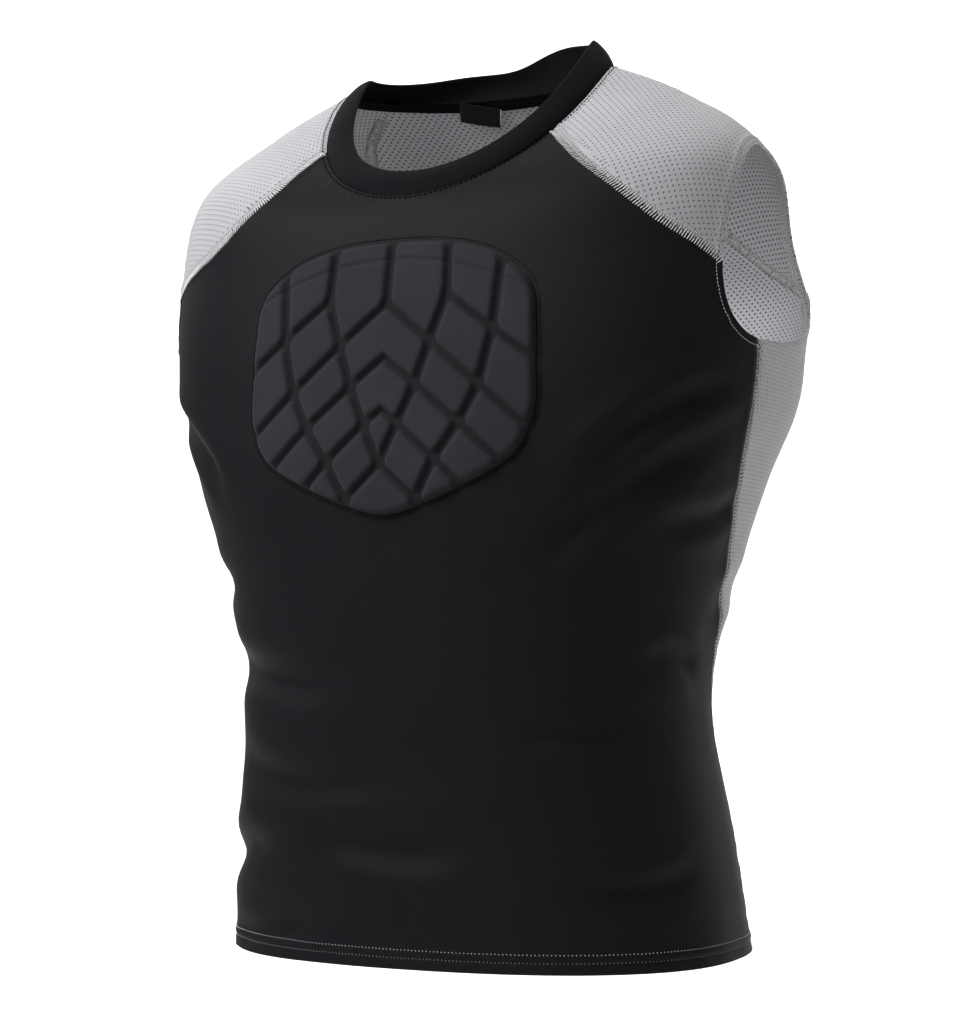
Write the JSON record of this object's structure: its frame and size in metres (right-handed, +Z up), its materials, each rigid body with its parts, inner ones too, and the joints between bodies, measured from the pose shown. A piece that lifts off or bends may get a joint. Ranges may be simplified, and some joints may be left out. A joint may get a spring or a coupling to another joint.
{
  "type": "padded compression shirt",
  "caption": "Sleeveless compression shirt with a jersey front, eyelet mesh back and shoulders, a black neck band and a rounded foam chest pad.",
  "frame": {"origin": "between the shoulders, on the centre line, at the height of the neck seam's highest points", "axes": "+X towards the wearer's left, -Y towards the front, +Z up"},
  "size_m": [0.4324, 0.3202, 0.6278],
  "materials": {
    "jersey": "matte stretch knit",
    "mesh": "matte eyelet knit",
    "trim": "matte knit",
    "pad": "matte cloth over foam"
  },
  "bodies": {
    "root": {"front_panel": "jersey", "back_panel": "mesh", "shoulder_left": "mesh", "shoulder_right": "mesh", "collar_band": "trim", "back_neck_tape": "trim", "neck_label": "trim", "chest_pad": "pad"}
  },
  "joints": []
}
